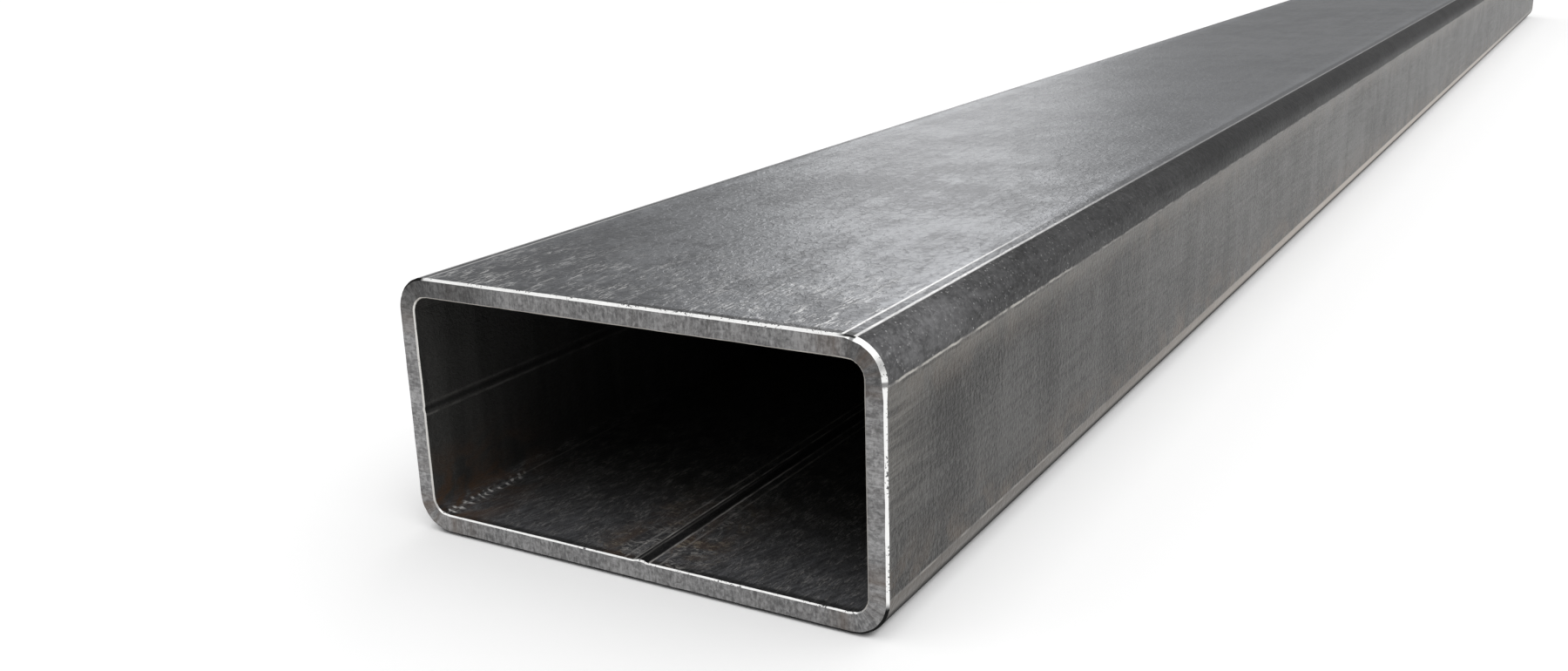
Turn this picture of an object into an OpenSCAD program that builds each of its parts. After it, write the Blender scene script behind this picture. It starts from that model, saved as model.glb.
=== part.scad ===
// Cold-formed rectangular steel tube, sawn square and deburred at both ends.
// It lies on its wide face: X across the width, Y along the length, Z up from the floor.

/* [Section] */
// Overall width
tube_w = 80; // [50:1:160]
// Overall height
tube_h = 40; // [30:1:120]
// Wall thickness
wall = 3; // [1.5:0.5:6]
// Inside radius of the rolled corners, the outside radius is one wall larger
bend_r = 2.5; // [0.5:0.5:5]
// Turn of the narrow flat that the sizing rolls leave where each corner leaves a wide face, in degrees
roll_flat_turn = 10; // [4:1:16]

/* [Length] */
// Sawn length
tube_l = 1000; // [100:10:6000]

/* [Cut ends] */
// Deburr on the outside edge of each cut end
deburr_out = 0.35; // [0.1:0.05:1]
// Deburr on the bore's edge of each cut end
deburr_in = 0.2; // [0.1:0.05:1]

/* [Weld seam] */
// Place of the inside weld bead across the floor of the bore, from the middle
seam_x = 1.5; // [-10:0.5:10]
// Width of the inside weld bead
seam_w = 2.6; // [1:0.1:5]
// Height of the inside weld bead above the floor of the bore
seam_h = 0.2; // [0.1:0.05:0.5]

/* [Roll mark] */
// Height of the roll mark on the bore's left wall, above the underside
mark_z = 19.5; // [14:0.5:25]
// Width of the roll mark
mark_w = 1; // [0.5:0.1:2]
// Depth of the roll mark
mark_d = 0.12; // [0.05:0.01:0.2]

/* [Hidden] */
$fn = 96;
corner_r = bend_r + wall;
bore_w = tube_w - 2 * wall;
bore_h = tube_h - 2 * wall;
past_end = 1;
// chord of the corner's arc that a roll flat replaces, run on a little past the arc
flat_l = 2 * corner_r * sin(roll_flat_turn) + 1;
// radii of the arcs that pass through the bead's and the mark's width and height
seam_r = (seam_w * seam_w / 4 + seam_h * seam_h) / (2 * seam_h);
mark_r = (mark_w * mark_w / 4 + mark_d * mark_d) / (2 * mark_d);

// Bar along Y with round corners, standing on z = 0, whose end edges ease in by "ease" or flare out where it is negative
module round_bar(w, h, r, l, ease) {
    e = abs(ease);
    slab_x = w / 2 - r;
    slab_z = h / 2 - r;
    for (sx = [-1, 1], sz = [-1, 1])
        translate([sx * slab_x, 0, h / 2 + sz * slab_z])
            rotate([-90, 0, 0])
                rotate_extrude()
                    polygon([[0, -l / 2], [r - ease, -l / 2], [r, -l / 2 + e], [r, l / 2 - e], [r - ease, l / 2], [0, l / 2]]);
    translate([0, 0, r])
        linear_extrude(h - 2 * r)
            long_outline(w / 2, l, e, ease);
    translate([-slab_x, 0, h / 2])
        rotate([0, 90, 0])
            linear_extrude(2 * slab_x)
                long_outline(h / 2, l, e, ease);
}

// Lengthwise outline of the bar, half as wide as "half" each way
module long_outline(half, l, e, ease) {
    polygon([
        [-half + ease, -l / 2], [half - ease, -l / 2], [half, -l / 2 + e], [half, l / 2 - e],
        [half - ease, l / 2], [-half + ease, l / 2], [-half, l / 2 - e], [-half, -l / 2 + e]
    ]);
}

// Long profile: a drawing in X and Z run along Y
module run_along(l) {
    translate([0, l / 2, 0])
        rotate([90, 0, 0])
            linear_extrude(l)
                children();
}

// Sliver above each roll flat, the same at all four corners
module roll_flats() {
    for (turned = [0, 180], side = [0, 180])
        translate([0, 0, tube_h / 2])
            rotate([0, turned, side])
                translate([tube_w / 2 - corner_r, 0, tube_h / 2])
                    rotate([0, roll_flat_turn, 0])
                        translate([0, -tube_l / 2 - past_end, 0])
                            cube([flat_l, tube_l + 2 * past_end, 2]);
}

// Bore with flared mouths and the roll mark scored in its left wall
module bore() {
    translate([0, 0, wall])
        round_bar(bore_w, bore_h, bend_r, tube_l + 2 * past_end, -deburr_in - past_end);
    run_along(tube_l + 2 * past_end)
        translate([-bore_w / 2 - mark_d + mark_r, mark_z])
            circle(r = mark_r);
}

// Low bead that the seam weld leaves on the floor of the bore
module seam_bead() {
    run_along(tube_l - 2 * deburr_in)
        translate([seam_x, wall])
            intersection() {
                translate([0, seam_h - seam_r])
                    circle(r = seam_r);
                translate([-seam_w, -wall / 3])
                    square([2 * seam_w, wall / 3 + 2 * seam_h]);
            }
}

// The tube, one piece of stock
module rectangular_tube() {
    color([0.36, 0.37, 0.38]) {
        difference() {
            round_bar(tube_w, tube_h, corner_r, tube_l, deburr_out);
            roll_flats();
            bore();
        }
        seam_bead();
    }
}

rectangular_tube();
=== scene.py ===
import math

import bmesh
import bpy
from mathutils import Euler, Matrix, Vector


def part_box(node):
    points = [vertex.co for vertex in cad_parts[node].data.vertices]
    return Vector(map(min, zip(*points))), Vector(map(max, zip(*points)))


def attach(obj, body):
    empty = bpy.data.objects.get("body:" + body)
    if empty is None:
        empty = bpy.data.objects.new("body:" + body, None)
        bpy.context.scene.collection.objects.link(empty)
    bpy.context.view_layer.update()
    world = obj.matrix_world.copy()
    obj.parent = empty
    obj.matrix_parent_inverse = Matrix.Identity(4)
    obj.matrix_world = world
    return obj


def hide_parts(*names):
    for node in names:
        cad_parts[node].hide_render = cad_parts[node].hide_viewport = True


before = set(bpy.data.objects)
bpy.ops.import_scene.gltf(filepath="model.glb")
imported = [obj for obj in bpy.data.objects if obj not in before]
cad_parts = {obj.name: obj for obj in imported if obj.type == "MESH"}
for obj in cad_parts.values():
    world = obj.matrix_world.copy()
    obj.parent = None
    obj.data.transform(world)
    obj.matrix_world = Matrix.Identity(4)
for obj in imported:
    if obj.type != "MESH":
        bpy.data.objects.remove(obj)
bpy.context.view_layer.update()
tubeLow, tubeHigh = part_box("rectangular_tube")
tubeSize = tubeHigh - tubeLow

tubeSet = {
    "wall": 0.003,
    "bend": 0.0055,              # outside corner radius
    "bendSteps": 18,             # 5 degrees a step
    "rollFlat": 15,              # degrees of each bend that the rolls press flat, from the wide face
    "columnGap": 0.0023,
    "ringsFromEnd": (0.0008, 0.002, 0.004, 0.008, 0.016, 0.032, 0.064, 0.125, 0.25, 0.375),
    "seamX": 0.0015,
    "seamWidth": 0.0026,
    "seamRise": 0.0002,
    "seamSteps": 6,
    "markZ": 0.0195,             # roll mark on the bore's left wall
    "markWidth": 0.001,
    "markDepth": 0.00012,
    "outerDeburr": 0.00035,
    "innerDeburr": 0.0002,
    "arcDeburr": 0.0002,         # filed this much wider round the upper right bend
    "edgeWander": 0.00004,       # hand-filed unevenness of the deburred edges
}


# node helpers

def addNode(tree, kind, inputs, **settings):
    made = tree.nodes.new(kind)
    for name, value in settings.items():
        setattr(made, name, value)
    for name, value in inputs.items():
        if isinstance(value, bpy.types.NodeSocket):
            tree.links.new(value, made.inputs[name])
        else:
            made.inputs[name].default_value = value
    return made


def calc(tree, operation, *values):
    return addNode(tree, "ShaderNodeMath", dict(enumerate(values)), operation=operation).outputs[0]


def stretch(tree, vector, amounts):
    made = addNode(tree, "ShaderNodeVectorMath", {0: vector, 1: amounts}, operation="MULTIPLY")
    return made.outputs[0]


def noise(tree, vector, amounts, detail=3.0, rough=0.5, twist=0.0):
    made = addNode(tree, "ShaderNodeTexNoise", {
        "Vector": stretch(tree, vector, amounts), "Scale": 1.0, "Detail": detail,
        "Roughness": rough, "Distortion": twist})
    return made.outputs["Fac"]


def ramp(tree, value, low, high, toLow=0.0, toHigh=1.0):
    made = addNode(tree, "ShaderNodeMapRange", {
        "Value": value, "From Min": low, "From Max": high, "To Min": toLow, "To Max": toHigh},
        interpolation_type="SMOOTHSTEP")
    return made.outputs[0]


def mixColour(tree, share, first, second, blend="MIX"):
    made = addNode(tree, "ShaderNodeMix", {0: share, 6: first, 7: second},
                   data_type="RGBA", blend_type=blend)
    return made.outputs[2]


def rgb(red, green, blue):
    return (red, green, blue, 1.0)


def grey(tree, value):
    return addNode(tree, "ShaderNodeCombineColor", {0: value, 1: value, 2: value}).outputs[0]


def product(tree, *values):
    total = values[0]
    for value in values[1:]:
        total = calc(tree, "MULTIPLY", total, value)
    return total


# sum of products: each part is a value and its share
def weighted(tree, *parts):
    total = product(tree, *parts[0])
    for part in parts[1:]:
        total = calc(tree, "ADD", total, product(tree, *part))
    return total


def shaded(tree, colour, value):
    return mixColour(tree, 1.0, colour, grey(tree, value), "MULTIPLY")


def startGroup(name, inputs, outputs):
    tree = bpy.data.node_groups.new(name, "ShaderNodeTree")
    for label, kind, value in inputs:
        tree.interface.new_socket(label, in_out="INPUT", socket_type=kind).default_value = value
    for label, kind in outputs:
        tree.interface.new_socket(label, in_out="OUTPUT", socket_type=kind)
    return tree, tree.nodes.new("NodeGroupInput").outputs, tree.nodes.new("NodeGroupOutput").inputs


def useGroup(tree, group, inputs):
    return addNode(tree, "ShaderNodeGroup", inputs, node_tree=group).outputs


# where a point lies on the tube's wall, carried out to the outside so that a pattern runs through the wall
def makeWallPlace():
    tree, _, out = startGroup("wallPlace", [], [
        ("Outline", "NodeSocketVector"), ("Round", "NodeSocketFloat"),
        ("Depth", "NodeSocketFloat"), ("FromEnd", "NodeSocketFloat")])
    bend = tubeSet["bend"]
    flatX = tubeSize.x / 2 - bend
    flatZ = tubeSize.z / 2 - bend
    place = addNode(tree, "ShaderNodeTexCoord", {}).outputs["Object"]
    x, y, z = addNode(tree, "ShaderNodeSeparateXYZ", {0: place}).outputs[:3]
    rise = calc(tree, "SUBTRACT", z, tubeSize.z / 2)
    acrossX = calc(tree, "ABSOLUTE", x)
    acrossZ = calc(tree, "ABSOLUTE", rise)
    overX = calc(tree, "MAXIMUM", calc(tree, "SUBTRACT", acrossX, flatX), 0.0)
    overZ = calc(tree, "MAXIMUM", calc(tree, "SUBTRACT", acrossZ, flatZ), 0.0)
    turn = calc(tree, "ARCTAN2", overX, overZ)
    reach = calc(tree, "SQRT", weighted(tree, (overX, overX), (overZ, overZ)))
    # metres round the section from where a bend leaves its wide face: below 0 on the wide face
    onWide = calc(tree, "MINIMUM", calc(tree, "SUBTRACT", acrossX, flatX), 0.0)
    onNarrow = calc(tree, "MAXIMUM", calc(tree, "SUBTRACT", flatZ, acrossZ), 0.0)
    roundBend = calc(tree, "MULTIPLY", turn, bend)
    tree.links.new(calc(tree, "ADD", calc(tree, "ADD", onWide, onNarrow), roundBend), out["Round"])
    edgeX = calc(tree, "MULTIPLY_ADD", calc(tree, "SINE", turn), bend,
                 calc(tree, "MINIMUM", acrossX, flatX))
    edgeZ = calc(tree, "MULTIPLY_ADD", calc(tree, "COSINE", turn), bend,
                 calc(tree, "MINIMUM", acrossZ, flatZ))
    outline = addNode(tree, "ShaderNodeCombineXYZ", {
        0: calc(tree, "MULTIPLY", edgeX, calc(tree, "SIGN", x)), 1: y,
        2: calc(tree, "MULTIPLY", edgeZ, calc(tree, "SIGN", rise))})
    tree.links.new(outline.outputs[0], out["Outline"])
    tree.links.new(calc(tree, "SUBTRACT", bend, reach), out["Depth"])
    tree.links.new(calc(tree, "SUBTRACT", tubeSize.y / 2, calc(tree, "ABSOLUTE", y)), out["FromEnd"])
    return tree


# mill scale: soft smudges, a fine rolled ripple and pale wisps along the tube
def makeMillScale():
    tree, inp, out = startGroup("millScale", [
        ("Vector", "NodeSocketVector", (0, 0, 0)), ("Patch", "NodeSocketFloat", 60.0),
        ("Ripple", "NodeSocketFloat", 550.0)],
        [("Clouds", "NodeSocketFloat"), ("Height", "NodeSocketFloat"), ("Wisps", "NodeSocketFloat")])

    def scaled(amount):
        made = addNode(tree, "ShaderNodeVectorMath", {0: inp["Vector"], "Scale": amount}, operation="SCALE")
        return made.outputs[0]

    patches = scaled(inp["Patch"])
    ripples = scaled(inp["Ripple"])
    broad = noise(tree, patches, (0.45, 0.4, 0.45), 2.0, 0.5, 0.4)
    mottle = noise(tree, patches, (2.2, 1.5, 2.2), 3.0, 0.6, 0.6)
    fibre = noise(tree, ripples, (1.5, 0.03, 1.5), 3.0, 0.6)
    wave = noise(tree, ripples, (1.5, 1.1, 1.5), 3.0, 0.6, 0.7)
    clouds = weighted(tree, (broad, 0.28), (wave, 0.3), (mottle, 0.27), (fibre, 0.15))
    tree.links.new(ramp(tree, clouds, 0.36, 0.64), out["Clouds"])
    tree.links.new(wave, out["Height"])
    lines = noise(tree, ripples, (3.4, 0.55, 3.4), 3.0, 0.65, 1.3)
    where = noise(tree, patches, (5.0, 2.6, 5.0), 2.0)
    wisps = product(tree, ramp(tree, lines, 0.51, 0.62), ramp(tree, where, 0.4, 0.56))
    tree.links.new(wisps, out["Wisps"])
    return tree


# thin line along the tube at one place round the section, with a ragged strength
def makeRollLine():
    tree, inp, out = startGroup("rollLine", [
        ("Round", "NodeSocketFloat", 0.0), ("Vector", "NodeSocketVector", (0, 0, 0)),
        ("Place", "NodeSocketFloat", 0.0), ("HalfWidth", "NodeSocketFloat", 0.0002),
        ("Wander", "NodeSocketFloat", 0.0), ("Broken", "NodeSocketFloat", 0.3)],
        [("Line", "NodeSocketFloat")])
    shake = calc(tree, "SUBTRACT", noise(tree, inp["Vector"], (420, 420, 420), 3.0, 0.6), 0.5)
    around = calc(tree, "ADD", inp["Round"], product(tree, shake, inp["Wander"]))
    off = calc(tree, "ABSOLUTE", calc(tree, "SUBTRACT", around, inp["Place"]))
    line = ramp(tree, calc(tree, "DIVIDE", off, inp["HalfWidth"]), 1.0, 0.3)
    gaps = ramp(tree, noise(tree, inp["Vector"], (260, 160, 260), 3.0, 0.65), 0.4, 0.6, 1.0, 0.0)
    kept = calc(tree, "SUBTRACT", 1.0, product(tree, gaps, inp["Broken"]))
    tree.links.new(product(tree, line, kept), out["Line"])
    return tree


# scattered small specks, a share of the cells of a fine pattern
def makeSpecks():
    tree, inp, out = startGroup("specks", [
        ("Vector", "NodeSocketVector", (0, 0, 0)), ("Scale", "NodeSocketFloat", 700.0),
        ("Share", "NodeSocketFloat", 0.3)], [("Specks", "NodeSocketFloat")])
    cells = addNode(tree, "ShaderNodeTexVoronoi", {
        "Vector": inp["Vector"], "Scale": inp["Scale"], "Randomness": 1.0})
    chance, bright, _ = addNode(tree, "ShaderNodeSeparateColor", {0: cells.outputs["Color"]}).outputs[:3]
    picked = product(tree, calc(tree, "LESS_THAN", chance, inp["Share"]), calc(tree, "POWER", bright, 2.5))
    tree.links.new(product(tree, ramp(tree, cells.outputs["Distance"], 0.4, 0.15), picked), out["Specks"])
    return tree


# brown bloom in patches
def makeRustBloom():
    tree, inp, out = startGroup("rustBloom", [
        ("Vector", "NodeSocketVector", (0, 0, 0)), ("Amount", "NodeSocketFloat", 0.5)],
        [("Rust", "NodeSocketFloat")])
    bloom = noise(tree, inp["Vector"], (170, 120, 170), 5.0, 0.65, 0.8)
    tree.links.new(product(tree, ramp(tree, bloom, 0.4, 0.66), inp["Amount"]), out["Rust"])
    return tree


wallPlace = makeWallPlace()
millScale = makeMillScale()
rollLine = makeRollLine()
specks = makeSpecks()
rustBloom = makeRustBloom()


def lineAt(tree, outline, around, place, half, wander, broken):
    return useGroup(tree, rollLine, {
        "Round": around, "Vector": outline, "Place": place,
        "HalfWidth": half, "Wander": wander, "Broken": broken})["Line"]


def startMaterial(name):
    material = bpy.data.materials.new(name)
    material.use_nodes = True
    tree = material.node_tree
    return material, tree, tree.nodes["Principled BSDF"].inputs


def startFinish(name):
    material, tree, shader = startMaterial(name)
    wall = useGroup(tree, wallPlace, {})
    x, _, z = addNode(tree, "ShaderNodeSeparateXYZ", {0: wall["Outline"]}).outputs[:3]
    return material, tree, shader, wall, x, z


def setBump(tree, shader, height, strength, distance):
    bump = addNode(tree, "ShaderNodeBump", {"Height": height, "Strength": strength, "Distance": distance})
    tree.links.new(bump.outputs[0], shader["Normal"])


bendArc = tubeSet["bend"] * math.pi / 2
# metres round each bend: the strip that the rolls rub, then the upper bends' band of painted shade
stripFrom, stripTo = -0.00045, 0.00122
darkTo = bendArc + 0.0005

outsideSet = {
    "wide": (rgb(0.142, 0.146, 0.156), rgb(0.248, 0.255, 0.271)),
    "narrow": (rgb(0.034, 0.033, 0.0315), rgb(0.109, 0.107, 0.1025)),
    "lowBend": (rgb(0.135, 0.12, 0.105), rgb(0.49, 0.43, 0.375)),     # by the cut end, far from it
    "warm": rgb(0.15, 0.123, 0.1),
    "paintedBendShade": (0.19, 0.272, 0.066),     # painted shade of the upper bends: by the roll flat, in the middle, by the narrow face
    "wearAndHighlight": rgb(0.82, 0.815, 0.81),
    "bendTint": rgb(1.03, 1.0, 0.96),
    "beige": rgb(0.56, 0.54, 0.5),
    "paleSide": rgb(0.18, 0.172, 0.158),
    "paintedShadow": rgb(0.02, 0.02, 0.02),
    # place round the bend, half width, wander, broken, strength by the cut end, far from it, faded by, tone
    "lines": (
        (stripFrom, 0.00031, 0.0001, 0.15, 1.0, 0.0, 0.08, "wearAndHighlight"),
        (stripTo, 0.00035, 0.0001, 0.2, 1.0, 0.45, 0.13, "wearAndHighlight"),
        (darkTo + 0.00045, 0.0003, 0.0006, 0.8, 0.5, 0.2, 0.09, "paintedShadow"),
        (darkTo, 0.00026, 0.0005, 0.85, 0.85, 0.3, 0.09, "beige"),
    ),
}


def makeOutside():
    material, tree, shader, wall, across, rise = startFinish("outside_mill_scale")
    outline, fromEnd = wall["Outline"], wall["FromEnd"]
    scale = useGroup(tree, millScale, {"Vector": outline, "Patch": 60.0, "Ripple": 620.0})
    upper = ramp(tree, rise, -0.001, 0.001)
    reached = calc(tree, "ADD", wall["Round"], ramp(tree, rise, 0.001, -0.001, 0.0, 0.0004))
    narrow = ramp(tree, reached, darkTo - 0.0002, darkTo + 0.0003)
    onBend = calc(tree, "SUBTRACT", ramp(tree, reached, stripTo, stripTo + 0.0003), narrow)
    upperBend = product(tree, onBend, upper)
    lowerBend = calc(tree, "SUBTRACT", onBend, upperBend)

    # narrow faces: warmer, leathery grain, faint streaks across and scratches along
    grain = noise(tree, outline, (1500, 1500, 1250), 3.0, 0.62, 0.3)
    streaks = noise(tree, outline, (240, 240, 34), 3.0, 0.55)
    drawn = noise(tree, outline, (1000, 34, 1000), 3.0, 0.65)
    blotch = noise(tree, outline, (46, 40, 60), 3.0, 0.55, 0.5)
    brushed = weighted(tree, (grain, 0.42), (streaks, 0.18), (drawn, 0.2), (blotch, 0.2))
    sides = mixColour(tree, ramp(tree, brushed, 0.41, 0.59), *outsideSet["narrow"])
    bloom = useGroup(tree, rustBloom, {"Vector": outline, "Amount": 0.75})["Rust"]
    byEdge = calc(tree, "MAXIMUM", product(tree, ramp(tree, rise, 0.006, 0.0145), 0.9),
                  ramp(tree, rise, -0.004, -0.0145))
    sides = mixColour(tree, product(tree, bloom, byEdge), sides, outsideSet["warm"])
    sides = shaded(tree, sides, ramp(tree, fromEnd, 0.05, 0.15, 0.86, 1.08))
    paleEdge = product(tree, ramp(tree, rise, 0.0095, 0.0145), 0.75)
    handled = product(tree, ramp(tree, fromEnd, 0.018, 0.002), ramp(tree, drawn, 0.4, 0.6, 0.25, 0.75),
                      ramp(tree, rise, -0.009, 0.004))
    sides = mixColour(tree, calc(tree, "MAXIMUM", paleEdge, handled), sides, outsideSet["paleSide"])

    # wide faces: clouded scale, paler towards the strip by each bend; the strip itself is darkened as
    # painted shade
    lively = ramp(tree, fromEnd, 0.2, 0.0, 0.65, 2.2)
    cloudy = calc(tree, "MULTIPLY_ADD", calc(tree, "SUBTRACT", scale["Clouds"], 0.5), lively, 0.5)
    wide = mixColour(tree, cloudy, *outsideSet["wide"])
    rim = ramp(tree, wall["Round"], -0.005, stripFrom - 0.0002, 1.0, 1.3)
    # painted shade on the tilted strip
    stripShade = ramp(tree, wall["Round"], stripFrom - 0.0001, stripFrom + 0.0001, 1.0, 0.64)
    wide = shaded(tree, wide, product(tree, rim, stripShade))
    colour = mixColour(tree, narrow, wide, sides)

    # lower bends: paler away from the cut end, darkened as painted shade where they meet the floor
    underside = mixColour(tree, ramp(tree, fromEnd, 0.01, 0.3), *outsideSet["lowBend"])
    colour = mixColour(tree, product(tree, lowerBend, 0.9), colour, underside)
    foot = product(tree, ramp(tree, wall["Round"], bendArc * 0.86, bendArc * 0.66),
                   calc(tree, "SUBTRACT", 1.0, upper), ramp(tree, wall["Round"], -0.004, 0.0))
    colour = mixColour(tree, foot, colour, outsideSet["paintedShadow"])

    # upper bends darkened as painted shade, less so towards the cut end, with painted highlight specks there
    middle = (stripTo + darkTo) / 2
    first, second, third = outsideSet["paintedBendShade"]
    kept = calc(tree, "ADD", ramp(tree, wall["Round"], stripTo, middle, first, second),
                ramp(tree, wall["Round"], middle, darkTo, 0.0, third - second))
    paler = product(tree, ramp(tree, wall["Round"], stripTo, middle, 0.46, 0.98),
                    ramp(tree, wall["Round"], middle, darkTo, 1.0, 0.4))
    fading = calc(tree, "ADD", ramp(tree, fromEnd, 0.062, 0.0, 0.0, 0.75),
                  ramp(tree, fromEnd, 0.17, 0.08, 0.0, 0.25))
    kept = calc(tree, "ADD", kept, product(tree, paler, fading))
    dull = noise(tree, outline, (1000, 800, 1000), 4.0, 0.72)
    kept = product(tree, kept, ramp(tree, dull, 0.32, 0.68, 0.78, 1.2))
    # painted shade on the upper bends
    shade = calc(tree, "SUBTRACT", 1.0, product(tree, upperBend, calc(tree, "SUBTRACT", 1.0, kept)))
    colour = shaded(tree, colour, shade)
    colour = mixColour(tree, upperBend, colour, outsideSet["bendTint"], "MULTIPLY")
    # specks of painted highlight on the upper bends near the cut end
    dots = useGroup(tree, specks, {"Vector": outline, "Scale": 2100.0, "Share": 0.6})["Specks"]
    speckHighlight = product(tree, dots, upperBend, ramp(tree, fromEnd, 0.16, 0.01, 0.06, 0.55))
    colour = mixColour(tree, speckHighlight, colour, outsideSet["wearAndHighlight"])

    # pale wisps rubbed in by the cut ends, and a painted shadow line behind the filed edge
    onWide = ramp(tree, wall["Round"], 0.0004, 0.0)
    byCutEnd = product(tree, ramp(tree, fromEnd, 0.042, 0.002, 0.0, 0.7),
                     ramp(tree, across, 0.012, -0.02, 0.95, 1.3))
    colour = mixColour(tree, product(tree, scale["Wisps"], byCutEnd, onWide), colour, outsideSet["wearAndHighlight"])
    behind = lineAt(tree, outline, fromEnd, 0.0009, 0.0009, 0.0005, 0.35)
    onTop = product(tree, upper, ramp(tree, wall["Round"], stripTo + 0.0003, stripTo))
    burrShade = product(tree, onTop, ramp(tree, across, -0.012, 0.012, 0.2, 1.0))
    byCorner = product(tree, ramp(tree, across, 0.032, 0.0345), ramp(tree, fromEnd, 0.0022, 0.0012))
    behind = calc(tree, "MAXIMUM", behind, byCorner)
    colour = mixColour(tree, product(tree, behind, burrShade), colour, outsideSet["paintedShadow"])

    # lines along the bends: the bright ones partly worn by the rolls and partly painted highlight, the dark
    # one a painted shadow
    for place, half, wander, broken, nearby, far, faded, tone in outsideSet["lines"]:
        line = lineAt(tree, outline, reached, place, half, wander, broken)
        strength = ramp(tree, fromEnd, faded, faded * 0.4, far, nearby)
        strength = product(tree, strength, ramp(tree, rise, -0.001, 0.001, 0.45, 1.0))
        colour = mixColour(tree, product(tree, line, strength), colour, outsideSet[tone])
    tree.links.new(colour, shader["Base Color"])
    shader["Metallic"].default_value = 1.0
    dulled = calc(tree, "ADD", product(tree, upperBend, ramp(tree, across, -0.03, -0.034, 0.12, 0.35)),
                  product(tree, foot, 0.4))
    gloss = calc(tree, "ADD", ramp(tree, scale["Clouds"], 0.0, 1.0, 0.4, 0.35), dulled)
    tree.links.new(gloss, shader["Roughness"])
    ripple = calc(tree, "MULTIPLY_ADD", scale["Height"], 0.24, 0.38)
    relief = addNode(tree, "ShaderNodeMix", {0: narrow, 2: ripple, 3: brushed}, data_type="FLOAT")
    setBump(tree, shader, relief.outputs[0], 0.8, 0.0008)
    return material


boreSet = {
    "floor": rgb(0.1, 0.101, 0.107),
    "wall": rgb(0.066, 0.065, 0.061),
    "deepShade": rgb(0.022, 0.022, 0.021),
    "reach": 0.029,                      # how far in from the end the bore keeps its paler tone; deeper in, painted shade darkens it
    "scored": rgb(0.006, 0.006, 0.006),
    "paleAndGlint": rgb(0.62, 0.6, 0.57),
    "rust": rgb(0.1, 0.058, 0.034),
    "fleck": rgb(0.5, 0.44, 0.33),
    "chatterGlint": rgb(0.8, 0.79, 0.77),
    "tickBeat": 4000.0,                  # radians a metre
}


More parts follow.
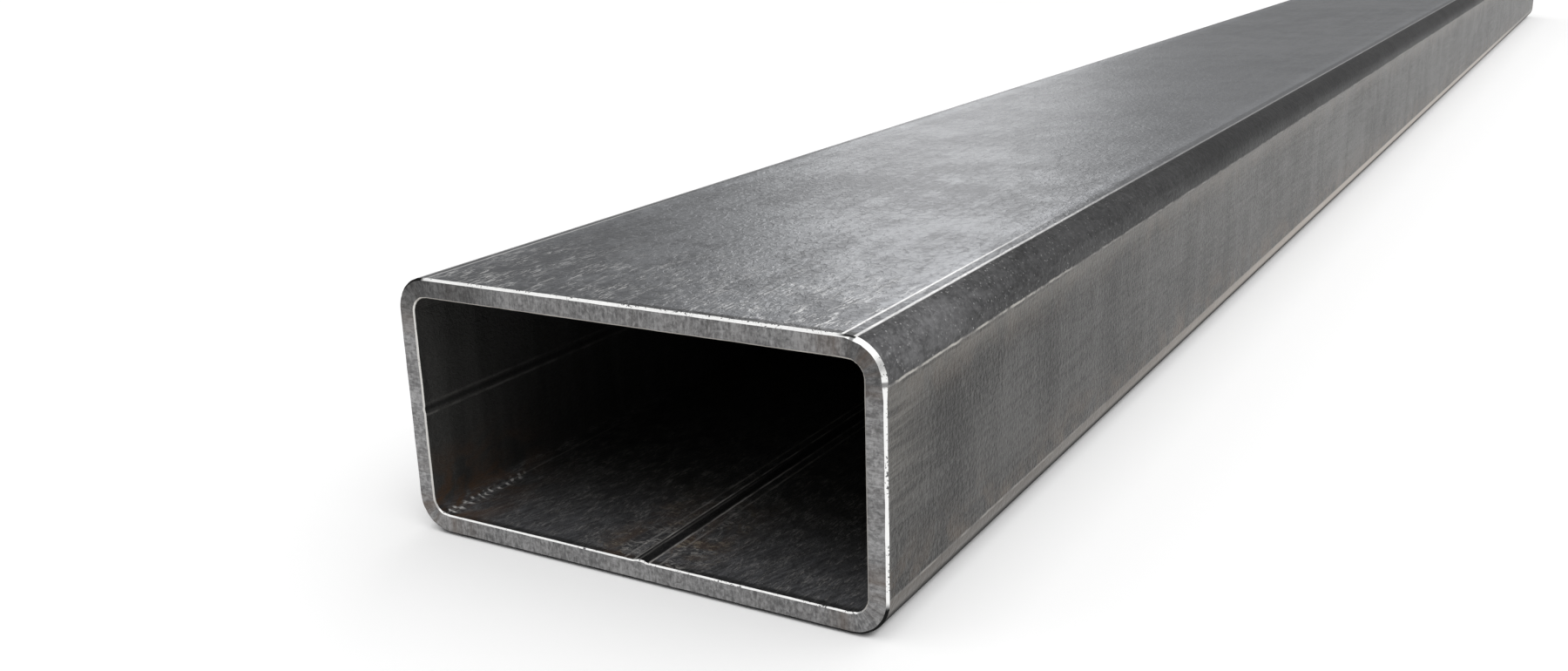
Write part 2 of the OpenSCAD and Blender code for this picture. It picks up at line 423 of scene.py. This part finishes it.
def makeBore():
    material, tree, shader, wall, x, z = startFinish("bore_dark_scale")
    outline, fromEnd = wall["Outline"], wall["FromEnd"]
    scale = useGroup(tree, millScale, {"Vector": outline, "Patch": 90.0, "Ripple": 1100.0})
    onFloor = ramp(tree, z, -0.0165, -0.0185)
    onLeft = ramp(tree, x, -0.034, -0.0375)
    nearMouth = ramp(tree, fromEnd, 0.08, 0.005)
    # painted shade: the bore darkens deeper in from the cut end
    byCutEnd = product(tree, ramp(tree, fromEnd, boreSet["reach"], 0.0),
                     ramp(tree, scale["Clouds"], 0.0, 1.0, 0.55, 1.0))
    streaks = noise(tree, outline, (260, 330, 30), 3.0, 0.6)
    slant = addNode(tree, "ShaderNodeMapping", {"Vector": outline, "Rotation": (0.0, 0.0, 0.3)}).outputs[0]
    strokes = noise(tree, slant, (1700, 260, 1700), 3.0, 0.7, 0.3)
    colour = mixColour(tree, onFloor, boreSet["wall"], boreSet["floor"])
    colour = mixColour(tree, byCutEnd, boreSet["deepShade"], colour)
    wallDim = ramp(tree, streaks, 0.3, 0.7, 0.75, 1.2)
    floorDim = ramp(tree, strokes, 0.34, 0.7, 0.6, 1.6)
    dim = addNode(tree, "ShaderNodeMix", {0: onFloor, 2: wallDim, 3: floorDim}, data_type="FLOAT")
    colour = shaded(tree, colour, dim.outputs[0])
    wisps = product(tree, scale["Wisps"], onFloor, nearMouth, 0.3)
    colour = mixColour(tree, wisps, colour, boreSet["paleAndGlint"])
    mouth = product(tree, onFloor, ramp(tree, fromEnd, 0.0018, 0.0008, 0.0, 0.75))
    colour = mixColour(tree, mouth, colour, boreSet["scored"])

    # weld bead: a dark band between two bright toes, with a faint ridge, and brown and gold flecks beside
    # it; the toes and the ridge are painted highlights
    overSeam = calc(tree, "SUBTRACT", x, tubeSet["seamX"])
    fromSeam = calc(tree, "ABSOLUTE", overSeam)
    half = tubeSet["seamWidth"] / 2
    beadBand = product(tree, ramp(tree, fromSeam, half * 1.3, half * 0.75), onFloor)
    colour = mixColour(tree, product(tree, beadBand, 0.88), colour, boreSet["scored"])
    beside = product(tree, ramp(tree, fromSeam, 0.013, 0.003),
                     ramp(tree, fromSeam, half, half * 1.3), onFloor)
    byMouth = ramp(tree, fromEnd, 0.032, 0.004)
    bloom = useGroup(tree, rustBloom, {"Vector": outline, "Amount": 1.0})["Rust"]
    colour = mixColour(tree, product(tree, bloom, beside, byMouth, 0.7), colour, boreSet["rust"])
    flakes = noise(tree, outline, (620, 1700, 620), 3.0, 0.6, 0.8)
    flecks = product(tree, ramp(tree, flakes, 0.53, 0.6), beside, byMouth)
    dots = useGroup(tree, specks, {"Vector": outline, "Scale": 1300.0, "Share": 0.5})["Specks"]
    flecks = calc(tree, "MAXIMUM", product(tree, flecks, 0.6), product(tree, dots, beside, byMouth))
    flecks = product(tree, flecks, ramp(tree, noise(tree, outline, (300, 200, 300), 2.0), 0.38, 0.54))
    gold = mixColour(tree, ramp(tree, bloom, 0.2, 0.5), boreSet["paleAndGlint"], boreSet["fleck"])
    colour = mixColour(tree, product(tree, flecks, 0.8), colour, gold)
    for toe, strength in ((half, 0.75), (half * 2.3, 0.3)):
        line = lineAt(tree, outline, fromSeam, toe, 0.00028, 0.0003, 0.6)
        faded = product(tree, line, onFloor, ramp(tree, fromEnd, 0.07, 0.005, 0.3, strength))
        colour = mixColour(tree, faded, colour, boreSet["paleAndGlint"])
    ridge = lineAt(tree, outline, overSeam, half * -0.35, 0.0003, 0.0003, 0.5)
    ridge = product(tree, ridge, onFloor, ramp(tree, fromEnd, 0.06, 0.0, 0.0, 0.3))
    colour = mixColour(tree, ridge, colour, boreSet["paleAndGlint"])

    # lower left corner: brown, with a painted highlight line along the fold, and chatter marks near the cut
    # end painted bright as glints
    inCorner = product(tree, ramp(tree, x, -0.031, -0.0335), ramp(tree, z, -0.0135, -0.0165))
    byCorner = product(tree, ramp(tree, x, -0.024, -0.036), ramp(tree, z, -0.004, -0.0165), byMouth)
    colour = mixColour(tree, product(tree, bloom, byCorner), colour, boreSet["rust"])
    shift = product(tree, noise(tree, outline, (220, 220, 220), 2.0), 16.0)
    beats = calc(tree, "SINE", calc(tree, "MULTIPLY_ADD", fromEnd, boreSet["tickBeat"], shift))
    uneven = ramp(tree, noise(tree, outline, (640, 640, 640), 1.0), 0.36, 0.6, 0.1, 1.3)
    ticks = product(tree, ramp(tree, beats, 0.2, 0.7), uneven, ramp(tree, fromEnd, 0.022, 0.012))
    foldHighlight = product(tree, ramp(tree, fromEnd, 0.07, 0.018), 0.22)
    for spread, wander, broken, bright, tone in (
            (0.0022, 0.0006, 0.1, ticks, "chatterGlint"), (0.00045, 0.0001, 0.3, foldHighlight, "paleAndGlint")):
        fold = lineAt(tree, outline, wall["Round"], bendArc * 0.12, spread, wander, broken)
        colour = mixColour(tree, product(tree, fold, inCorner, bright), colour, boreSet[tone])

    # roll mark on the left wall: a dark score between thin pale lips
    height = calc(tree, "ADD", z, tubeSize.z / 2 - tubeSet["markZ"])
    score = product(tree, ramp(tree, calc(tree, "ABSOLUTE", height), 0.0005, 0.00015), onLeft)
    colour = mixColour(tree, product(tree, score, 0.7), colour, boreSet["scored"])
    for place, strength in ((-0.0009, 0.16), (0.0008, 0.09)):
        lip = lineAt(tree, outline, height, place, 0.0003, 0.0002, 0.7)
        colour = mixColour(tree, product(tree, lip, onLeft, nearMouth, strength), colour, boreSet["paleAndGlint"])
    tree.links.new(colour, shader["Base Color"])
    shader["Metallic"].default_value = 0.0
    tree.links.new(ramp(tree, scale["Clouds"], 0.0, 1.0, 0.62, 0.5), shader["Roughness"])
    setBump(tree, shader, scale["Height"], 0.7, 0.0003)
    return material


sawnSet = {
    "tones": (rgb(0.132, 0.131, 0.132), rgb(0.39, 0.388, 0.388)),
    "rust": rgb(0.15, 0.118, 0.098),
}


def makeSawn():
    material, tree, shader, wall, x, z = startFinish("sawn_end")
    outline = wall["Outline"]
    place = addNode(tree, "ShaderNodeTexCoord", {}).outputs["Object"]
    through = addNode(tree, "ShaderNodeCombineXYZ", {0: x, 1: wall["Depth"], 2: z}).outputs[0]
    strokes = noise(tree, through, (2700, 560, 2700), 3.0, 0.7, 0.2)
    uneven = noise(tree, outline, (190, 190, 190), 3.0, 0.6)
    mottle = noise(tree, place, (1300, 1300, 1300), 3.0, 0.7, 0.5)
    tone = weighted(tree, (strokes, 0.36), (uneven, 0.24), (mottle, 0.4))
    colour = mixColour(tree, ramp(tree, tone, 0.37, 0.64), *sawnSet["tones"])
    # painted shade: darker at the upper corners and along the top wall
    topLeft = product(tree, ramp(tree, x, -0.016, -0.028), ramp(tree, z, 0.0115, 0.0165))
    topRight = product(tree, ramp(tree, x, 0.0335, 0.0358), ramp(tree, z, 0.0115, 0.0155))
    paintedCornerShade = product(tree, calc(tree, "MAXIMUM", topLeft, topRight), 0.5)
    shade = product(tree, calc(tree, "SUBTRACT", 1.0, paintedCornerShade), ramp(tree, z, 0.0165, 0.0185, 1.0, 0.84))
    colour = shaded(tree, colour, shade)
    bloom = useGroup(tree, rustBloom, {"Vector": outline, "Amount": 0.7})["Rust"]
    corner = product(tree, ramp(tree, wall["Round"], -0.008, 0.001),
                     ramp(tree, wall["Round"], 0.016, 0.009), calc(tree, "SUBTRACT", 1.0, topLeft))
    colour = mixColour(tree, product(tree, bloom, calc(tree, "ADD", corner, 0.1)), colour, sawnSet["rust"])
    tree.links.new(colour, shader["Base Color"])
    shader["Metallic"].default_value = 1.0
    shader["Roughness"].default_value = 0.42
    setBump(tree, shader, weighted(tree, (strokes, 0.5), (mottle, 0.5)), 0.7, 0.0001)
    return material


deburredSet = {
    "bright": rgb(0.93, 0.93, 0.92),
    "nick": rgb(0.12, 0.12, 0.12),
    "raw": rgb(0.68, 0.65, 0.6),
    "unfiledAndShade": rgb(0.025, 0.025, 0.025),
}


def makeDeburred():
    material, tree, shader, wall, x, z = startFinish("deburred_edge")
    outline = wall["Outline"]
    place = addNode(tree, "ShaderNodeTexCoord", {}).outputs["Object"]
    inner = ramp(tree, wall["Depth"], 0.0012, 0.0018)
    outer = calc(tree, "SUBTRACT", 1.0, inner)
    # filed well on the outer top and right edges and the bore's lower edge, less elsewhere; the outer left
    # and bottom edges are dark, partly unfiled and partly painted shade
    unfiledAndShade = calc(tree, "MAXIMUM", ramp(tree, x, -0.0343, -0.0352), ramp(tree, z, -0.0143, -0.0158))
    unfiledAndShade = product(tree, unfiledAndShade, outer)
    raw = calc(tree, "MAXIMUM", ramp(tree, x, 0.0375, 0.0395), ramp(tree, z, 0.0165, 0.019))
    raw = calc(tree, "MAXIMUM", raw, ramp(tree, x, -0.0375, -0.0395, 0.0, 0.5))
    raw = product(tree, raw, inner)
    nicks = noise(tree, place, (2600, 2600, 2600), 2.0, 0.7)
    runs = noise(tree, outline, (150, 150, 150), 2.0)
    bare = calc(tree, "ADD", nicks, ramp(tree, runs, 0.35, 0.6, -0.05, 0.08))
    bare = calc(tree, "SUBTRACT", bare, ramp(tree, x, -0.01, 0.015, 0.0, 0.05))
    byRim = ramp(tree, wall["Depth"], 0.00005, 0.0002, -0.07, 0.03)
    bare = calc(tree, "MULTIPLY_ADD", outer, byRim, bare)
    colour = mixColour(tree, ramp(tree, bare, 0.3, 0.36), deburredSet["nick"], deburredSet["bright"])
    # notches and a dark wedge where the upper right bend starts and ends; the wedge is a painted shadow
    onTop = product(tree, outer, ramp(tree, z, 0.012, 0.0135))
    topRight = product(tree, onTop, ramp(tree, x, 0.0335, 0.0345), 0.9)
    for notch in (stripTo - 0.0003, bendArc + 0.0002):
        gap = lineAt(tree, outline, wall["Round"], notch, 0.0005, 0.0003, 0.1)
        colour = mixColour(tree, product(tree, gap, topRight), colour, deburredSet["nick"])
    burrFoldShadow = product(tree, onTop, ramp(tree, x, 0.033, 0.0345),
                     ramp(tree, wall["Round"], stripTo + 0.0003, stripTo),
                     ramp(tree, wall["Depth"], 0.0003, 0.00018))
    colour = mixColour(tree, burrFoldShadow, colour, deburredSet["unfiledAndShade"])
    colour = mixColour(tree, raw, colour, deburredSet["raw"])
    colour = mixColour(tree, unfiledAndShade, colour, deburredSet["unfiledAndShade"])
    tree.links.new(colour, shader["Base Color"])
    tree.links.new(calc(tree, "SUBTRACT", 1.0, raw), shader["Metallic"])
    gloss = calc(tree, "MULTIPLY_ADD", unfiledAndShade, 0.55, ramp(tree, nicks, 0.3, 0.7, 0.38, 0.28))
    tree.links.new(gloss, shader["Roughness"])
    return material


tubeFinishes = [makeOutside(), makeBore(), makeSawn(), makeDeburred()]
outsideSlot, boreSlot, sawnSlot, edgeSlot = range(4)
print("finishes made", [finish.name for finish in tubeFinishes])


# modelling helpers: what the next edit acts on is picked by place, normal or finish

def pick(piece, kind, test):
    bpy.ops.mesh.select_mode(type=kind)
    bpy.ops.mesh.select_all(action="DESELECT")
    shape = bmesh.from_edit_mesh(piece.data)
    parts = {"VERT": shape.verts, "EDGE": shape.edges, "FACE": shape.faces}[kind]
    for part in parts:
        if test(part):
            part.select_set(True)
    shape.select_flush_mode()
    bmesh.update_edit_mesh(piece.data)


def cutAcross(piece, place, normal, test):
    pick(piece, "FACE", test)
    bpy.ops.mesh.bisect(plane_co=place, plane_no=normal)


def bendTurn(point):
    overX = abs(point.x) - (tubeSize.x / 2 - tubeSet["bend"])
    overZ = abs(point.z - tubeSize.z / 2) - (tubeSize.z / 2 - tubeSet["bend"])
    return math.degrees(math.atan2(max(overX, 0), max(overZ, 0)))


def runsAlong(edge):
    return abs(edge.verts[0].co.y - edge.verts[1].co.y) > 0.5 * tubeSize.y


def between(edge, first, second):
    return {face.material_index for face in edge.link_faces} == {first, second}


def makeTube():
    near = 1e-5
    wall = tubeSet["wall"]
    bpy.ops.object.select_all(action="DESELECT")
    bpy.ops.mesh.primitive_cube_add(size=1, location=(tubeLow + tubeHigh) / 2)
    tube = bpy.context.object
    tube.name = "tube_stock"
    tube.data.name = "tube_stock"
    tube.scale = tubeSize
    bpy.ops.object.transform_apply(location=True, rotation=True, scale=True)
    for finish in tubeFinishes:
        tube.data.materials.append(finish)

    # open sleeve with rolled corners
    bpy.ops.object.mode_set(mode="EDIT")
    pick(tube, "FACE", lambda face: abs(face.normal.y) > 0.9)
    bpy.ops.mesh.delete(type="ONLY_FACE")
    pick(tube, "EDGE", runsAlong)
    bpy.ops.mesh.bevel(offset=tubeSet["bend"], segments=tubeSet["bendSteps"], profile=0.5, affect="EDGES")
    rollFlat = tubeSet["rollFlat"]
    pick(tube, "EDGE", lambda edge: runsAlong(edge) and 1 < bendTurn(edge.verts[0].co) < rollFlat - 1)
    bpy.ops.mesh.dissolve_edges(use_verts=True)

    # columns and rings, closer together where the seam, the roll mark and the cut ends are
    flatX = tubeSize.x / 2 - tubeSet["bend"]
    flatZ = tubeSize.z / 2 - tubeSet["bend"]
    for half, axis, onFlat in ((flatX, 0, lambda face: abs(face.normal.z) > 0.999),
                               (flatZ, 2, lambda face: abs(face.normal.x) > 0.999)):
        count = round(2 * half / tubeSet["columnGap"])
        for step in range(1, count):
            place = [0, 0, tubeSize.z / 2]
            place[axis] += half * (2 * step / count - 1)
            cutAcross(tube, place, [1 if axis == 0 else 0, 0, 1 if axis == 2 else 0], onFlat)
    seamX, seamSteps = tubeSet["seamX"], tubeSet["seamSteps"]
    seamHalf = tubeSet["seamWidth"] / 2
    seamBow = (seamHalf ** 2 + tubeSet["seamRise"] ** 2) / (2 * tubeSet["seamRise"])
    seamLines = [seamHalf * (2 * step / seamSteps - 1) for step in range(seamSteps + 1)]
    for off in seamLines:
        cutAcross(tube, (seamX + off, 0, 0), (1, 0, 0), lambda face: face.normal.z < -0.999)
    markLines = [tubeSet["markWidth"] * share for share in (-0.5, -0.25, 0.0, 0.25, 0.5)]
    for off in markLines:
        cutAcross(tube, (0, 0, tubeSet["markZ"] + off), (0, 0, 1), lambda face: face.normal.x < -0.999)
    for gap in (*tubeSet["ringsFromEnd"], tubeSize.y / 2):
        for side in (-1, 1):
            cutAcross(tube, (0, side * (tubeSize.y / 2 - gap), 0), (0, 1, 0), lambda face: True)
    bpy.ops.object.mode_set(mode="OBJECT")

    # wall
    solid = tube.modifiers.new("wall", "SOLIDIFY")
    solid.thickness = wall
    solid.offset = -1
    solid.use_even_offset = True
    solid.use_quality_normals = True
    solid.material_offset = boreSlot
    solid.material_offset_rim = sawnSlot
    bpy.ops.object.modifier_apply(modifier="wall")

    # weld bead on the floor of the bore, and the roll mark in its left wall
    bpy.ops.object.mode_set(mode="EDIT")
    for off in seamLines[1:-1]:
        rise = math.sqrt(seamBow ** 2 - off ** 2) - (seamBow - tubeSet["seamRise"])
        pick(tube, "VERT", lambda vert: abs(vert.co.z - wall) < near
             and abs(vert.co.x - seamX - off) < near)
        bpy.ops.transform.translate(value=(0, 0, rise))
    for off, share in zip(markLines[1:-1], (0.75, 1.0, 0.75)):
        pick(tube, "VERT", lambda vert: abs(vert.co.x + tubeSize.x / 2 - wall) < near
             and abs(vert.co.z - tubeSet["markZ"] - off) < near)
        bpy.ops.transform.translate(value=(-tubeSet["markDepth"] * share, 0, 0))

    # deburred edges
    for slot, size in ((outsideSlot, tubeSet["outerDeburr"]), (boreSlot, tubeSet["innerDeburr"])):
        pick(tube, "EDGE", lambda edge: between(edge, slot, sawnSlot))
        bpy.ops.mesh.bevel(offset=size, segments=1, affect="EDGES", material=edgeSlot)

    # the upper right bend is filed wider
    bendZ = tubeSize.z - tubeSet["bend"]
    endY = tubeSize.y / 2
    backY = endY - tubeSet["outerDeburr"]
    rimReach = tubeSet["bend"] - tubeSet["outerDeburr"]

    def onArc(vert, reach, y):
        away = math.hypot(vert.co.x - flatX, vert.co.z - bendZ)
        inCorner = vert.co.x > flatX - near and vert.co.z > bendZ - near
        pastFlat = bendTurn(vert.co) > rollFlat - 1
        return inCorner and pastFlat and abs(away - reach) < 4 * near and abs(vert.co.y - y) < near

    for side in (-1, 1):
        pick(tube, "VERT", lambda vert: onArc(vert, tubeSet["bend"], side * backY))
        bpy.ops.transform.translate(value=(0, -side * tubeSet["arcDeburr"], 0))
        pick(tube, "VERT", lambda vert: onArc(vert, rimReach, side * endY))
        shrink = 1 - tubeSet["arcDeburr"] / rimReach
        bpy.ops.transform.resize(value=(shrink, 1, shrink), center_override=(flatX, side * endY, bendZ))
    pick(tube, "FACE", lambda face: face.material_index == edgeSlot)
    bpy.ops.transform.vertex_random(offset=tubeSet["edgeWander"], seed=4, wait_for_input=False)
    bpy.ops.object.mode_set(mode="OBJECT")
    bpy.ops.object.shade_smooth_by_angle(angle=math.radians(8))
    bpy.ops.object.mode_set(mode="EDIT")
    pick(tube, "EDGE", lambda edge: all(face.material_index == edgeSlot for face in edge.link_faces))
    bpy.ops.mesh.mark_sharp(clear=True)
    bpy.ops.object.mode_set(mode="OBJECT")
    tube.data.update()
    return tube


tube = makeTube()
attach(tube, "root")
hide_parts("rectangular_tube")
print("tube modelled", len(tube.data.vertices), "points", len(tube.data.polygons), "faces")


floorSet = {
    "span": 16.0,
    "drop": 0.0002,
    "colour": rgb(0.78, 0.78, 0.78),
    "lift": 0.36,                # glow of the white backdrop by the tube, cut under it as painted shadow
    "farLift": 0.7,              # far off, where the lamps reach less
    "farFrom": 0.35,
    "farTo": 1.2,
    "gap": 0.05,                 # how far the tube's shade spreads, and the dark line where it touches
    "touch": 0.0013,
    "lean": (0.7, 0.25, 0.67),   # the side that the glow comes from
    "shadeSamples": 8,
}


def makeFloor():
    bpy.ops.object.select_all(action="DESELECT")
    bpy.ops.mesh.primitive_plane_add(size=floorSet["span"], location=(0, 0, -floorSet["drop"]))
    floor = bpy.context.object
    floor.name = "studio_floor"
    bpy.ops.object.transform_apply(location=True, rotation=True, scale=True)
    material, tree, shader = startMaterial("studio_white")
    shader["Base Color"].default_value = floorSet["colour"]
    shader["Roughness"].default_value = 1.0
    shader["Specular IOR Level"].default_value = 0.0
    path = addNode(tree, "ShaderNodeLightPath", {}).outputs
    seen = calc(tree, "MAXIMUM", path["Is Glossy Ray"], path["Is Transmission Ray"])
    seen = calc(tree, "MAXIMUM", path["Is Camera Ray"], seen)
    lean = addNode(tree, "ShaderNodeCombineXYZ", dict(enumerate(floorSet["lean"]))).outputs[0]
    clear, touch = (
        addNode(tree, "ShaderNodeAmbientOcclusion", inputs, samples=floorSet["shadeSamples"]).outputs["AO"]
        for inputs in ({"Distance": floorSet["gap"], "Normal": lean}, {"Distance": floorSet["touch"]}))
    shader["Emission Color"].default_value = rgb(1, 1, 1)
    place = addNode(tree, "ShaderNodeTexCoord", {}).outputs["Object"]
    across, along = addNode(tree, "ShaderNodeSeparateXYZ", {0: place}).outputs[:2]
    along = calc(tree, "SUBTRACT", calc(tree, "ABSOLUTE", along), tubeSize.y / 2)
    away = calc(tree, "MAXIMUM", calc(tree, "ABSOLUTE", across), along)
    lift = ramp(tree, away, floorSet["farFrom"], floorSet["farTo"], floorSet["lift"], floorSet["farLift"])
    # painted shadow: the glow fades where the occlusion finds the tube close, leaning to the left and front
    glow = product(tree, seen, lift, ramp(tree, clear, 0.15, 0.5), ramp(tree, touch, 0.2, 0.65))
    tree.links.new(glow, shader["Emission Strength"])
    floor.data.materials.append(material)
    return floor


makeFloor()
print("floor laid")


lightSet = {
    "surround": rgb(0.39, 0.39, 0.39),
    # name, place, aim, width, height, watts
    "boxes": (
        ("top_softbox", (0.75, -0.3, 1.5), (0.6, -0.3, 0.0), 3.6, 2.6, 29.5),
        ("edge_softbox", (-1.2, -1.2, 1.5), (0.0, -0.5, 0.04), 1.2, 1.0, 2.8),
        ("back_softbox", (-1.05, 1.87, 0.89), (0.0, -0.4, 0.04), 0.56, 1.02, 3.3),
    ),
}


def makeLights():
    world = bpy.data.worlds.new("studio")
    world.use_nodes = True
    world.node_tree.nodes["Background"].inputs["Color"].default_value = lightSet["surround"]
    world.node_tree.nodes["Background"].inputs["Strength"].default_value = 1.0
    bpy.context.scene.world = world
    for name, place, aim, width, height, watts in lightSet["boxes"]:
        bpy.ops.object.light_add(type="AREA", location=place)
        lamp = bpy.context.object
        lamp.name = name
        lamp.rotation_euler = (Vector(aim) - lamp.location).to_track_quat("-Z", "Y").to_euler()
        lamp.data.shape = "RECTANGLE"
        lamp.data.size = width
        lamp.data.size_y = height
        lamp.data.energy = watts
        lamp.visible_camera = False


makeLights()
print("lights set")


cameraSet = {
    "place": (0.113862, -0.645455, 0.08943),
    "yaw": 31.1306,
    "pitch": 16.5713,
    "roll": 1.9379,
    "lens": 32.9621,
    "frameWidth": 36.0,
}


def makeCamera():
    turn = Euler((math.radians(90 - cameraSet["pitch"]), 0, math.radians(cameraSet["yaw"]))).to_matrix()
    turn = turn @ Matrix.Rotation(math.radians(-cameraSet["roll"]), 3, "Z")
    bpy.ops.object.camera_add(location=cameraSet["place"], rotation=turn.to_euler())
    camera = bpy.context.object
    camera.name = "photo_camera"
    camera.data.sensor_width = cameraSet["frameWidth"]
    camera.data.lens = cameraSet["lens"]
    camera.data.clip_start = 0.005
    bpy.context.scene.camera = camera


makeCamera()
bpy.context.scene.view_settings.view_transform = "Standard"
